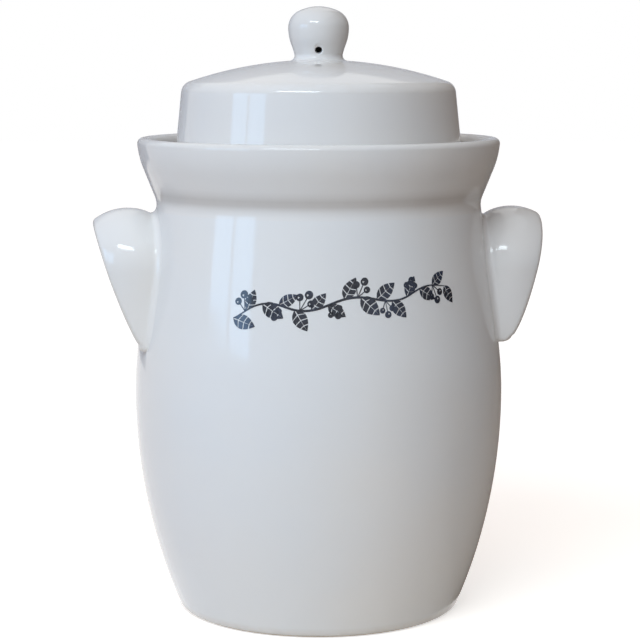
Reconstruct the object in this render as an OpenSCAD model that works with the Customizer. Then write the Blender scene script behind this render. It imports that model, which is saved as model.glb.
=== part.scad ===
// Water-seal stoneware crock for fruit steeped in spirit, with its lid and its two weighting stones.
// Millimetres. The origin is the middle of the foot on the table, +Z is up, and the front faces -Y.

/* [Crock body] */
// Outside radius at the widest line of the belly
belly_r = 101.9; // [92:0.1:115]
// Height of the widest line of the belly
belly_h = 120; // [105:1:135]
// How far the belly curve draws in from the widest line down to the table
foot_in = 24.5; // [18:0.1:32]
// Radius of the rounded edge of the foot
foot_round = 4.5; // [2:0.5:7]
// How far the neck draws in from the widest line
neck_in = 12.3; // [9:0.1:16]
// Height of the neck, where the collar is luted on
neck_h = 222; // [205:1:240]
// Radius of the shoulder curve above the belly
shoulder_curve = 225; // [200:5:238]
// Thickness of the wall
body_wall = 8; // [6:0.5:10]
// Thickness of the floor
floor_t = 10; // [8:0.5:14]
// Radius inside the crock between the wall and the floor
inner_round = 14; // [10:1:18]
// Width of the unglazed ring that the crock stands on
foot_ring_w = 9; // [6:0.5:14]
// Depth of the hollow under the base
base_hollow = 2.5; // [1:0.5:5]

/* [Gutter collar] */
// How far the rim stands out beyond the neck
rim_out = 9.8; // [8:0.1:13]
// Rise of the rim above the neck
rim_rise = 39; // [36:0.5:46]
// Thickness of the flared collar
collar_t = 7.5; // [6:0.5:9]
// Radius of the hollow curve at the neck
neck_fillet = 12; // [8:1:14]
// Radius of the full curve under the rim
rim_curve = 20; // [14:1:22]
// Straight upright band below the rounded rim
rim_band = 1; // [0.5:0.5:4]
// Thickness of the shelf that carries the gutter
shelf_t = 8; // [6:0.5:10]
// Radius in the outer corner of the gutter
gutter_round = 5; // [3:0.5:6]
// Radius in the inner corner of the gutter
gutter_inner_round = 2; // [1:0.5:3]
// Width of the gutter, from its outer corner to the inner neck
gutter_w = 15; // [13.5:0.1:17]
// Thickness of the inner neck
mouth_wall = 8; // [6:0.5:9]
// Height of the inner neck above the rim, so that the gutter spills outwards
mouth_rise = 3; // [1:0.5:8]
// Radius under the edge of the shelf
shelf_round = 4; // [2:0.5:5]

/* [Grips] */
// How far the grip's outer tip stands out beyond the belly's widest line
grip_out = 23.1; // [18:0.1:28]
// Height of the grip's crown below the neck, negative where it stands above it
grip_below_neck = -1; // [-2:0.5:10]
// Height of the grip from the crown to the lower ends
grip_h = 76; // [65:1:90]
// How far the lower ends' edge stands out of the belly
grip_end_out = 3.2; // [2:0.1:5]
// Outside width of the grip at its crown curve
grip_w = 64; // [56:1:76]
// How far each leg draws in between the crown and its lower end
grip_draw_in = 2; // [0:0.5:6]
// Thickness of the grip's wall
grip_t = 6.4; // [5:0.2:8]
// Radius of the swell across the grip's wall
grip_swell = 30; // [24:0.5:36]
// Where the swell is highest, as a share of the way from the wall to the edge
grip_swell_at = 0.5; // [0.4:0.01:0.6]
// How far the slanted edge bows outwards
grip_bow = 2; // [0:0.5:5]
// Radius of the luting fillet between the grip and the belly
grip_fillet = 3; // [1.5:0.5:5]

/* [Lid] */
// Gap between the inner neck and the lid's skirt
skirt_gap = 2.4; // [1.5:0.1:4]
// Thickness of the lid
lid_t = 6.2; // [5:0.1:7]
// Height of the skirt's upright part, from the gutter's floor
skirt_straight = 28; // [20:1:34]
// Lean of the skirt above that, in degrees
skirt_lean = 5.9; // [3:0.1:8]
// Height of the lid from the gutter's floor to the top of its dome
lid_h = 73.3; // [64:0.1:84]
// Radius of the dome's curve
dome_curve = 219; // [180:1:260]
// Radius of the lid's shoulder
lid_shoulder = 7; // [4:0.5:10]
// Radius of the skirt's lower edges
skirt_edge = 2; // [1:0.25:2.5]
// Radius of the two gas notches in the skirt's lower edge
notch_r = 5; // [3:0.5:8]

/* [Knob] */
// Radius of the knob at its widest
knob_r = 16.6; // [14:0.1:20]
// Height of the knob above its seat on the dome
knob_h = 29.5; // [27:0.1:34]
// Radius of the knob's crown
knob_crown = 22; // [20:0.5:30]
// Radius of the knob's upper edge
knob_edge = 7.5; // [6:0.5:9]
// Radius of the curve under the knob
knob_under = 26; // [22:1:30]
// Lean at the end of that curve, in degrees
knob_under_lean = 21; // [16:1:24]
// Radius of the hollow curve of the knob's neck
knob_neck = 48; // [40:1:60]
// Radius of the fillet at the knob's foot
knob_foot = 3; // [2:0.25:4]
// Thickness of the hollow knob's wall
knob_wall = 4.6; // [3.5:0.1:6]
// Diameter of the vent in the knob's neck
vent_d = 3.8; // [2:0.1:5]
// Height of the vent above the knob's seat
vent_h = 5.6; // [4.5:0.1:8]
// Turn of the lid about its axis, in degrees
lid_turn = -6; // [-180:1:180]

/* [Weighting stones] */
// Thickness of the two half-moon stones
stone_t = 18; // [12:1:24]
// Radius of the stones' rounded edge
stone_round = 6; // [3:0.5:8]
// Gap between the two stones
stone_gap = 1.6; // [0.8:0.2:4]
// Play between the stones and the crock's wall
stone_play = 1.5; // [0.5:0.5:5]
// Radius of the finger hole that the two stones share
finger_r = 11; // [8:0.5:15]
// Bevel along the stones' flat side and round the finger hole
stone_bevel = 1.5; // [0.5:0.25:3]

/* [Hidden] */
$fn = 96;
// Segments of a long curve and of a short one
long_n = 12;
short_n = 6;
// Hair gap between the grip's root and the curved belly
root_gap = 0.03;
// Rings along one leg and round the crown of a grip, and steps across its root
leg_rings = 9;
crown_rings = 24;
root_n = 5;

foot_r = belly_r - foot_in;
neck_r = belly_r - neck_in;
rim_r = neck_r + rim_out;
rim_h = neck_h + rim_rise;
gutter_h = neck_h + shelf_t;
lip_round = collar_t / 2;

// The belly is two arcs that meet at its widest line: one down to the foot, one up to the shoulder
lower_curve = (pow(belly_r - foot_r, 2) + pow(belly_h, 2)) / (2 * (belly_r - foot_r));
lower_x = belly_r - lower_curve;
shoulder_x = belly_r - shoulder_curve;
neck_from_shoulder = norm([neck_r - shoulder_x, neck_h - belly_h]);
shoulder_lean = atan2(neck_h - belly_h, neck_r - shoulder_x) - acos(shoulder_curve / neck_from_shoulder);
shoulder_end = belly_h + shoulder_curve * sin(shoulder_lean);

// Points on an arc from one angle to another
function arc(c, r, from, to, n = long_n) =
    [for (i = [0:n]) c + r * [cos(from + (to - from) * i / n), sin(from + (to - from) * i / n)]];

// Outside radius of the crock body at a height
function outside_r(h) =
    h < belly_h ? lower_x + sqrt(pow(lower_curve, 2) - pow(belly_h - h, 2))
    : h < shoulder_end ? shoulder_x + sqrt(pow(shoulder_curve, 2) - pow(h - belly_h, 2))
    : neck_r + (neck_h - h) * tan(shoulder_lean);

// Centre of a corner of radius r that stands on height h and touches the lower curve from inside
function corner_centre(inset, r, h) =
    [lower_x + sqrt(pow(lower_curve - inset - r, 2) - pow(belly_h - h - r, 2)), h + r];

// Outline of the belly from a rounded corner at height h up to the neck, inset from the outside
function belly_line(inset, r, h) =
    let (c = corner_centre(inset, r, h),
         turn = atan2(c.y - belly_h, c.x - lower_x))
    concat(
        arc(c, r, -90, turn, short_n),
        arc([lower_x, belly_h], lower_curve - inset, turn, 0),
        arc([shoulder_x, belly_h], shoulder_curve - inset, 0, shoulder_lean, short_n),
        [[neck_r - inset / cos(shoulder_lean), neck_h]]);

function reversed(points) = [for (i = [len(points) - 1:-1:0]) points[i]];

module revolved(points) {
    rotate_extrude() polygon(points);
}

// Belly vessel: one thrown wall with a rounded foot, a floor and a hollow under the base
module crock_body() {
    ring_in = corner_centre(0, foot_round, 0).x - foot_ring_w;
    color([0.9, 0.88, 0.84])
        revolved(concat(
            [[0, base_hollow], [ring_in - base_hollow, base_hollow], [ring_in, 0]],
            belly_line(0, foot_round, 0),
            reversed(belly_line(body_wall, inner_round, floor_t)),
            [[0, floor_t]]));
}

// The flare is a straight run that touches the hollow curve at the neck and the full curve under the rim
neck_centre = [neck_r, neck_h] + neck_fillet * [cos(shoulder_lean), sin(shoulder_lean)];
rim_centre = [rim_r - rim_curve, rim_h - lip_round - rim_band];
between = rim_centre - neck_centre;
flare_lean = 90 - atan2(between.y, between.x) + asin((neck_fillet + rim_curve) / norm(between));
flare_out = [cos(flare_lean), -sin(flare_lean)];
flare_up = [sin(flare_lean), cos(flare_lean)];
// Corner circle in the outer bottom edge of the gutter
gutter_wall_point = rim_centre + (rim_curve - collar_t - gutter_round) * flare_out;
gutter_centre = gutter_wall_point
    - flare_up * (gutter_wall_point.y - gutter_h - gutter_round) / flare_up.y;
// The inner neck and the lid's skirt follow the gutter's outer corner
mouth_out = gutter_centre.x + gutter_round - gutter_w;
mouth_r = mouth_out - mouth_wall;
skirt_in = mouth_out + skirt_gap;
skirt_out = skirt_in + lid_t;

// Flared collar, gutter and inner neck, turned as one ring and luted on the neck
module gutter_collar() {
    color([0.88, 0.87, 0.85])
        revolved(concat(
            arc(neck_centre, neck_fillet, 180 + shoulder_lean, 180 - flare_lean, short_n),
            arc(rim_centre, rim_curve, -flare_lean, 0, short_n),
            arc([rim_r - lip_round, rim_h - lip_round], lip_round, 0, 180, 2 * short_n),
            arc(rim_centre, rim_curve - collar_t, 0, -flare_lean, short_n),
            arc(gutter_centre, gutter_round, -flare_lean, -90, short_n),
            arc([mouth_out + gutter_inner_round, gutter_h + gutter_inner_round],
                gutter_inner_round, -90, -180, short_n),
            arc([mouth_r + mouth_wall / 2, rim_h + mouth_rise - mouth_wall / 2],
                mouth_wall / 2, 0, 180, 2 * short_n),
            arc([mouth_r + shelf_round, neck_h + shelf_round], shelf_round, 180, 270, short_n)));
}

// Distance from the axis at which a line along X, at y and h, leaves the belly
function wall_x(y, h) = sqrt(pow(outside_r(min(h, neck_h)), 2) - y * y) + root_gap;

// Heights of the grip's crown, of its lower ends and of the arch's centre
grip_top = neck_h - grip_below_neck;
grip_foot = grip_top - grip_h;
arch_r = grip_w / 2;
arch_h = grip_top - arch_r;
// Distances of the grip's tip and of its lower ends' edge from the axis
grip_reach = belly_r + grip_out;
grip_end_reach = wall_x(arch_r - grip_draw_in, grip_foot) + grip_end_out;
// The middle of the grip's wall swells on this radius
mid_swell = grip_swell - grip_t / 2;
// How far a skin of radius r has fallen away from its widest line at a distance dx along X
function skin_fall(r, dx) = grip_swell - sqrt(max(0, r * r - dx * dx));
// Height of the middle of the lip at the crown
tip_h = grip_top - skin_fall(mid_swell, (1 - grip_swell_at) * (grip_reach - grip_t / 2 - neck_r));

// Distance of the slanted edge from the pot's axis at a height
function edge_x(h) =
    let (s = (h - grip_foot) / (tip_h - grip_foot))
    grip_end_reach + (grip_reach - grip_end_reach) * s + 4 * grip_bow * s * (1 - s);

// A step along the arch: the widest point of the skin there, and the way in towards the arch's middle
function leg_step(s) =
    [[arch_r - grip_draw_in * (1 - s), grip_foot + (arch_h - grip_foot) * s], [-1, 0]];
function crown_step(a) = [[arch_r * cos(a), arch_h + arch_r * sin(a)], [-cos(a), -sin(a)]];
function mirrored(step) = [[-step[0].x, step[0].y], [-step[1].x, step[1].y]];
leg_steps = [for (i = [0:leg_rings - 1]) leg_step(i / leg_rings)];
grip_steps = concat(
    leg_steps,
    [for (i = [0:crown_rings]) crown_step(180 * i / crown_rings)],
    [for (step = reversed(leg_steps)) mirrored(step)]);

// The wall's distance behind a point that lies n inside the skin's widest line
function root_x(step, n) = let (q = step[0] + n * step[1]) wall_x(q.x, q.y);
// Distance of the lip's middle from the axis, found again once with the fall of the skin there
function lip_x(step) =
    let (first = edge_x(step[0].y) - grip_t / 2,
         n = skin_fall(mid_swell, (1 - grip_swell_at) * (first - root_x(step, 0))))
    edge_x(step[0].y + n * step[1].y) - grip_t / 2;

// One cross-section of the grip's wall, as points [x, n], from the fillet outside to the fillet inside.
// The points across the root come last, with an x of 0 that ring() takes to the wall.
function section(step) =
    let (x0 = root_x(step, 0),
         // The wall keeps a stub where the lip nearly meets the belly
         end = max(lip_x(step), x0 + grip_t / 4),
         mid = x0 + grip_swell_at * (end - x0),
         out_r = grip_swell,
         in_r = grip_swell - grip_t,
         lip_a = asin((end - mid) / mid_swell),
         lip_c = [mid, grip_swell] + mid_swell * [sin(lip_a), -cos(lip_a)],
         fillet = min(grip_fillet, (end - x0) / 2),
         out_from = -asin((mid - x0 - fillet) / out_r),
         in_from = -asin(max(-1, min(1, (mid - x0 - fillet) / in_r))),
         out_n = skin_fall(out_r, mid - x0 - fillet),
         in_n = skin_fall(in_r, mid - x0 - fillet),
         root_w = out_n - in_n - 2 * fillet)
    concat(
        [for (i = [1:2]) let (a = 90 * i / 3) [x0 + fillet * (1 - cos(a)), out_n - fillet * (1 - sin(a))]],
        [for (i = [0:6]) let (a = out_from + (lip_a - out_from) * i / 6)
            [mid, grip_swell] + out_r * [sin(a), -cos(a)]],
        [for (i = [1:5]) let (a = lip_a - 90 + 180 * i / 6) lip_c + grip_t / 2 * [cos(a), sin(a)]],
        [for (i = [6:-1:0]) let (a = in_from + (lip_a - in_from) * i / 6)
            [mid, grip_swell] + in_r * [sin(a), -cos(a)]],
        [for (i = [2:-1:1]) let (a = 90 * i / 3) [x0 + fillet * (1 - cos(a)), in_n + fillet * (1 - sin(a))]],
        [for (i = [0:root_n]) [0, in_n + fillet + root_w * i / root_n]]);

// A section in space, drawn in by a share towards the middle of its root
function ring(step, share = 1) =
    let (points = section(step),
         last = len(points) - 1,
         root = [root_x(step, 0), (points[last][1] + points[last - root_n][1]) / 2])
    [for (point = points)
        let (p = root + share * (point - root),
             q = step[0] + p[1] * step[1])
        [max(p[0], wall_x(q.x, q.y)), q.x, q.y]];
// The blunt lower end of a leg
end_drop = grip_t / 4;
end_step = [leg_steps[0][0] - [0, end_drop], leg_steps[0][1]];
grip_rings = concat(
    [ring(end_step, 0.5)],
    [for (step = grip_steps) ring(step)],
    [ring(mirrored(end_step), 0.5)]);

// Skin over a row of rings with equal counts, closed by a fan at each end
module lofted(rings) {
    n = len(rings[0]);
    rows = len(rings);
    polyhedron(
        [for (r = rings) each r],
        concat(
            [for (j = [0:rows - 2], i = [0:n - 1])
                let (a = j * n + i, b = j * n + (i + 1) % n) each [[a, b, a + n], [b, b + n, a + n]]],
            [[for (i = [n - 1:-1:0]) i]],
            [[for (i = [0:n - 1]) (rows - 1) * n + i]]));
}

// Shell grip: a closed hood with two legs, its lip rounded and its root smoothed on to the belly
module grip() {
    color([0.87, 0.87, 0.85]) lofted(grip_rings);
}
module handle_left() { mirror([1, 0, 0]) grip(); }
module handle_right() { grip(); }

// Lid outline: the lean of the skirt, the shoulder's circle and the dome's circle touch each other
dome_h = gutter_h + lid_h;
dome_centre_h = dome_h - dome_curve;
lean_h = gutter_h + skirt_straight;
lean_up = [-sin(skirt_lean), cos(skirt_lean)];
function shoulder_centre(inset, r) =
    let (b = [skirt_out, lean_h] - (inset + r) * [cos(skirt_lean), sin(skirt_lean)],
         to_dome = b - [0, dome_centre_h],
         along = to_dome * lean_up,
         rest = to_dome * to_dome - pow(dome_curve - inset - r, 2))
    b + lean_up * (sqrt(along * along - rest) - along);
function dome_line(inset, r, seat_x) =
    let (c = shoulder_centre(inset, r),
         turn = atan2(c.y - dome_centre_h, c.x))
    concat(
        arc(c, r, skirt_lean, turn, short_n),
        arc([0, dome_centre_h], dome_curve - inset, turn, acos(seat_x / (dome_curve - inset))));

// The knob sits on a small level seat in the middle of the dome
seat_h = dome_centre_h + sqrt(pow(dome_curve, 2) - pow(knob_r, 2));
knob_crown_c = [0, seat_h + knob_h - knob_crown];
knob_edge_c = [knob_r - knob_edge,
    knob_crown_c.y + sqrt(pow(knob_crown - knob_edge, 2) - pow(knob_r - knob_edge, 2))];
knob_turn = atan2(knob_edge_c.y - knob_crown_c.y, knob_edge_c.x);
knob_under_c = [knob_r - knob_under, knob_edge_c.y];
under_dir = [cos(knob_under_lean), -sin(knob_under_lean)];
knob_neck_c = knob_under_c + (knob_under + knob_neck) * under_dir;
// The foot's fillet touches the hollow curve of the neck and the seat
knob_foot_turn = asin((knob_neck_c.y - seat_h - knob_foot) / (knob_neck - knob_foot));
knob_foot_c = knob_neck_c - (knob_neck - knob_foot) * [cos(knob_foot_turn), sin(knob_foot_turn)];
// Inside radius of the knob's hollow foot
knob_hollow_r = knob_foot_c.x - knob_foot - knob_wall;

// Lid: a low dome on a deep skirt that stands on the gutter's floor, with two gas notches
module lid_cap() {
    color([0.9, 0.89, 0.86]) difference() {
        revolved(concat(
            arc([skirt_out - skirt_edge, gutter_h + skirt_edge], skirt_edge, -90, 0, 3),
            [[skirt_out, lean_h]],
            dome_line(0, lid_shoulder, knob_r),
            [[0, seat_h]],
            reversed(dome_line(lid_t, max(2, lid_shoulder - lid_t / 2), 0)),
            [[skirt_in, lean_h - lid_t * tan(skirt_lean / 2)]],
            arc([skirt_in + skirt_edge, gutter_h + skirt_edge], skirt_edge, 180, 270, 3)));
        for (side = [-1, 1])
            translate([side * skirt_out, 0, gutter_h])
                rotate([0, 90, 0]) cylinder(r = notch_r, h = 4 * lid_t, center = true);
    }
}

// Hollow knob, open at its foot where it is luted on the dome, with a vent for the kiln in its neck
module lid_knob() {
    color([0.86, 0.86, 0.85]) rotate([0, 0, lid_turn]) difference() {
        revolved(concat(
            arc(knob_foot_c, knob_foot, 270, 180 + knob_foot_turn, short_n),
            arc(knob_neck_c, knob_neck, 180 + knob_foot_turn, 180 - knob_under_lean, short_n),
            arc(knob_under_c, knob_under, -knob_under_lean, 0, short_n),
            arc(knob_edge_c, knob_edge, 0, knob_turn, short_n),
            arc(knob_crown_c, knob_crown, knob_turn, 90, short_n),
            arc(knob_crown_c, knob_crown - knob_wall, 90, knob_turn, short_n),
            arc(knob_edge_c, knob_edge - knob_wall, knob_turn, 0, short_n),
            arc(knob_under_c, knob_under - knob_wall, 0, -knob_under_lean, short_n),
            [[knob_hollow_r, seat_h]]));
        translate([0, 0, seat_h + vent_h]) rotate([90, 0, 0]) cylinder(d = vent_d, h = 2 * knob_r);
    }
}

// Half-moon stone on the crock's floor: a rounded rim, a bevelled flat side and half of a finger hole
module half_stone() {
    flat_r = corner_centre(body_wall, inner_round, floor_t).x - stone_play;
    stone_r = flat_r + stone_round;
    translate([stone_gap / 2, 0, floor_t]) difference() {
        intersection() {
            revolved(concat(
                [[0, 0]],
                arc([flat_r, stone_round], stone_round, -90, 0, short_n),
                arc([flat_r, stone_t - stone_round], stone_round, 0, 90, short_n),
                [[0, stone_t]]));
            rotate([90, 0, 0]) linear_extrude(height = 2 * stone_r, center = true)
                polygon([
                    [stone_bevel, 0], [stone_r, 0], [stone_r, stone_t], [stone_bevel, stone_t],
                    [0, stone_t - stone_bevel], [0, stone_bevel]]);
        }
        revolved([
            [0, 0], [finger_r + stone_bevel, 0], [finger_r, stone_bevel],
            [finger_r, stone_t - stone_bevel], [finger_r + stone_bevel, stone_t], [0, stone_t]]);
    }
}
module weight_stone_left() { color([0.7, 0.6, 0.48]) mirror([1, 0, 0]) half_stone(); }
module weight_stone_right() { color([0.7, 0.6, 0.48]) half_stone(); }

crock_body();
gutter_collar();
handle_left();
handle_right();
lid_cap();
lid_knob();
weight_stone_left();
weight_stone_right();
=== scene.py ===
import math

import bmesh
import bpy
from mathutils import Matrix, Vector, noise
from mathutils.bvhtree import BVHTree


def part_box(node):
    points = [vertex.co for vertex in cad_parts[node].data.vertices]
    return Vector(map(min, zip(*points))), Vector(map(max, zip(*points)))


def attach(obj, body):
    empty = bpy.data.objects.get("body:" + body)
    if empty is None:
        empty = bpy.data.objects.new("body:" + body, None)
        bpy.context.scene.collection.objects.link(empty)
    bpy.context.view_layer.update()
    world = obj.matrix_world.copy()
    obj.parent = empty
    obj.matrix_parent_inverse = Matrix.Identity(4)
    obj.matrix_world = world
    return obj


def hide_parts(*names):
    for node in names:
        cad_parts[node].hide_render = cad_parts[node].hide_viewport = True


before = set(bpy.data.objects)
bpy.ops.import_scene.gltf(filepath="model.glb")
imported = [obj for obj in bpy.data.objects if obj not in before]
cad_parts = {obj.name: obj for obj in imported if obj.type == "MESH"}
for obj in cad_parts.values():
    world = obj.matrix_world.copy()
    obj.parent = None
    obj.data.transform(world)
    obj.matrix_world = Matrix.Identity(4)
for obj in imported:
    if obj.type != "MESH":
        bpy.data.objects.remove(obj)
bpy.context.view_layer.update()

# Looks of a water-seal stoneware crock: turned and pulled shapes, glaze, printed sprig, light, camera
# Metres, the pot's axis on Z, the front towards -Y

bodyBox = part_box("crock_body")
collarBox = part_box("gutter_collar")
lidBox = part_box("lid_cap")
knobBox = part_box("lid_knob")
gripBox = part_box("handle_right")
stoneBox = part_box("weight_stone_right")

bellyR = bodyBox[1].x
neckHeight = bodyBox[1].z
rimR = collarBox[1].x
gutterFloor = lidBox[0].z
skirtR = lidBox[1].x


# Camera, first, so that every view stands

cameraView = {
    "azimuth": -6.0,        # degrees round the pot, 0 is straight in front
    "distance": 1.1096,     # from the pot's axis, level
    "height": 0.3070,
    "pitch": 7.57,          # degrees downwards
    "lens": 113.1,
    "shiftRight": 0.0022,
}


def placeCamera(view):
    data = bpy.data.cameras.new("cameraFront")
    data.lens = view["lens"]
    data.sensor_width = 36
    data.shift_x = view["shiftRight"]
    data.clip_start, data.clip_end = 0.05, 30
    turn = math.radians(view["azimuth"])
    camera = bpy.data.objects.new("cameraFront", data)
    camera.location = (view["distance"] * math.sin(turn), -view["distance"] * math.cos(turn), view["height"])
    camera.rotation_euler = (math.radians(90 - view["pitch"]), 0, turn)
    bpy.context.scene.collection.objects.link(camera)
    bpy.context.scene.camera = camera


placeCamera(cameraView)
bpy.context.scene.view_settings.view_transform = "Standard"
print("camera placed")


# Small helpers for node trees

def addNode(tree, kind, inputs=None, **settings):
    node = tree.nodes.new(kind)
    for name, value in settings.items():
        setattr(node, name, value)
    for key, value in (inputs or {}).items():
        if isinstance(value, bpy.types.NodeSocket):
            tree.links.new(value, node.inputs[key])
        else:
            node.inputs[key].default_value = value
    return node


def mathNode(tree, operation, a, b=0.0, c=0.0):
    return addNode(tree, "ShaderNodeMath", {0: a, 1: b, 2: c}, operation=operation).outputs[0]


def rampNode(tree, value, low, high, toLow=0.0, toHigh=1.0):
    node = addNode(tree, "ShaderNodeMapRange", {"Value": value, "From Min": low, "From Max": high,
                                               "To Min": toLow, "To Max": toHigh})
    return node.outputs["Result"]


def mixColor(tree, factor, a, b):
    node = addNode(tree, "ShaderNodeMix", data_type="RGBA")
    for socket, value in (("Factor_Float", factor), ("A_Color", a), ("B_Color", b)):
        target = next(s for s in node.inputs if s.identifier == socket)
        if isinstance(value, bpy.types.NodeSocket):
            tree.links.new(value, target)
        else:
            target.default_value = value if socket == "Factor_Float" else (*value, 1)
    return next(s for s in node.outputs if s.identifier == "Result_Color")


# Glazes and bare clay

def glazeMaterial(name, look):
    material = bpy.data.materials.new(name)
    material.use_nodes = True
    tree = material.node_tree
    shader = tree.nodes["Principled BSDF"]
    shader.inputs["IOR"].default_value = look["ior"]
    place = addNode(tree, "ShaderNodeTexCoord").outputs["Object"]

    cloud = addNode(tree, "ShaderNodeTexNoise", {"Vector": place, "Scale": look["cloudScale"], "Detail": 3.0})
    tone = mixColor(tree, rampNode(tree, cloud.outputs["Fac"], 0.35, 0.65), look["cool"], look["warm"])

    # Where the glaze runs thin over an edge, the warm clay shows through; on the collar the same attribute and tone
    # also paint a band of shade under its overhang
    thin = addNode(tree, "ShaderNodeAttribute", attribute_name="thinGlaze").outputs["Fac"]
    streak = addNode(tree, "ShaderNodeTexNoise", {"Vector": place, "Scale": look["streakScale"], "Detail": 2.0})
    thin = mathNode(tree, "MULTIPLY", thin, rampNode(tree, streak.outputs["Fac"], 0.3, 0.7, look["streakLow"], 1.0))
    tone = mixColor(tree, thin, tone, look["thinningAndShadeTone"])

    # Iron specks: a few cells of a Voronoi pattern hold one small round speck
    cells = addNode(tree, "ShaderNodeTexVoronoi", {"Vector": place, "Scale": look["speckScale"]})
    chance = addNode(tree, "ShaderNodeSeparateColor", {"Color": cells.outputs["Color"]})
    radius = rampNode(tree, chance.outputs["Red"], 1 - look["speckShare"], 1.0, 0.0, look["speckSize"])
    speck = mathNode(tree, "SUBTRACT", radius, cells.outputs["Distance"])
    speck = rampNode(tree, speck, 0.0, look["speckSize"] * 0.6)
    tone = mixColor(tree, mathNode(tree, "MULTIPLY", speck, look["speckStrength"]), tone, look["speckTone"])

    # Pinholes are fine dents
    holes = addNode(tree, "ShaderNodeTexVoronoi", {"Vector": place, "Scale": look["pinholeScale"]})
    pick = addNode(tree, "ShaderNodeSeparateColor", {"Color": holes.outputs["Color"]})
    dent = rampNode(tree, holes.outputs["Distance"], 0.02, 0.12)
    dent = mathNode(tree, "MAXIMUM", dent, mathNode(tree, "LESS_THAN", pick.outputs["Green"], 1 - look["pinholeShare"]))

    # Bare clay on the foot ring and on the skirt's lower edge, with an uneven glaze line
    bare = addNode(tree, "ShaderNodeAttribute", attribute_name="bareClay").outputs["Fac"]
    grain = addNode(tree, "ShaderNodeTexNoise", {"Vector": place, "Scale": look["grainScale"], "Detail": 4.0})
    bare = rampNode(tree, mathNode(tree, "ADD", bare, mathNode(tree, "MULTIPLY", grain.outputs["Fac"], 0.3)), 0.6, 0.72)
    clay = mixColor(tree, grain.outputs["Fac"], look["clayDark"], look["clayLight"])
    tree.links.new(mixColor(tree, bare, tone, clay), shader.inputs["Base Color"])

    gloss = rampNode(tree, streak.outputs["Fac"], 0.3, 0.7, look["roughLow"], look["roughHigh"])
    rough = addNode(tree, "ShaderNodeMix", {0: bare, 2: gloss, 3: look["clayRough"]}).outputs[0]
    tree.links.new(rough, shader.inputs["Roughness"])

    wave = addNode(tree, "ShaderNodeTexNoise", {"Vector": place, "Scale": look["waveScale"], "Detail": 1.0})
    slow = addNode(tree, "ShaderNodeBump", {"Height": wave.outputs["Fac"], "Strength": 1.0,
                                            "Distance": look["waveDepth"]})
    peel = addNode(tree, "ShaderNodeTexNoise", {"Vector": place, "Scale": look["peelScale"], "Detail": 1.0})
    fine = mathNode(tree, "ADD", mathNode(tree, "MULTIPLY", peel.outputs["Fac"], look["peelShare"]), dent)
    fine = mathNode(tree, "ADD", fine, mathNode(tree, "MULTIPLY", bare, grain.outputs["Fac"]))
    bump = addNode(tree, "ShaderNodeBump", {"Height": fine, "Strength": 1.0, "Distance": look["fineDepth"],
                                            "Normal": slow.outputs["Normal"]})
    tree.links.new(bump.outputs["Normal"], shader.inputs["Normal"])
    return material


creamGlaze = {
    "ior": 1.5,
    "cool": (0.715, 0.715, 0.705), "warm": (0.745, 0.725, 0.69), "cloudScale": 9.0,
    "thinningAndShadeTone": (0.60, 0.54, 0.47), "streakScale": 160.0, "streakLow": 0.5,
    "speckTone": (0.30, 0.22, 0.15), "speckScale": 95.0, "speckShare": 0.055, "speckSize": 0.032,
    "speckStrength": 0.6,
    "pinholeScale": 240.0, "pinholeShare": 0.05,
    "grainScale": 900.0, "clayDark": (0.42, 0.34, 0.25), "clayLight": (0.62, 0.53, 0.42), "clayRough": 0.85,
    "roughLow": 0.06, "roughHigh": 0.11,
    "waveScale": 38.0, "waveDepth": 0.00009,
    "peelScale": 520.0, "peelShare": 0.5, "fineDepth": 0.00002,
}


def inkMaterial(name, look):
    material = bpy.data.materials.new(name)
    material.use_nodes = True
    tree = material.node_tree
    shader = tree.nodes["Principled BSDF"]
    shader.inputs["IOR"].default_value = 1.5
    place = addNode(tree, "ShaderNodeTexCoord").outputs["Object"]
    wash = addNode(tree, "ShaderNodeTexNoise", {"Vector": place, "Scale": look["washScale"], "Detail": 3.0})
    grain = addNode(tree, "ShaderNodeTexNoise", {"Vector": place, "Scale": look["grainScale"], "Detail": 2.0})
    share = mathNode(tree, "MULTIPLY", rampNode(tree, wash.outputs["Fac"], 0.45, 0.75),
                     rampNode(tree, grain.outputs["Fac"], 0.2, 0.8, 0.4, 1.0))
    tree.links.new(mixColor(tree, share, look["dark"], look["pale"]), shader.inputs["Base Color"])
    tree.links.new(rampNode(tree, grain.outputs["Fac"], 0.3, 0.7, 0.08, 0.14), shader.inputs["Roughness"])
    bump = addNode(tree, "ShaderNodeBump", {"Height": grain.outputs["Fac"], "Distance": look["depth"]})
    tree.links.new(bump.outputs["Normal"], shader.inputs["Normal"])
    return material


blueBlackInk = {
    "dark": (0.010, 0.014, 0.024), "pale": (0.050, 0.075, 0.14),
    "washScale": 45.0, "grainScale": 900.0, "depth": 0.00001,
}


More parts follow.
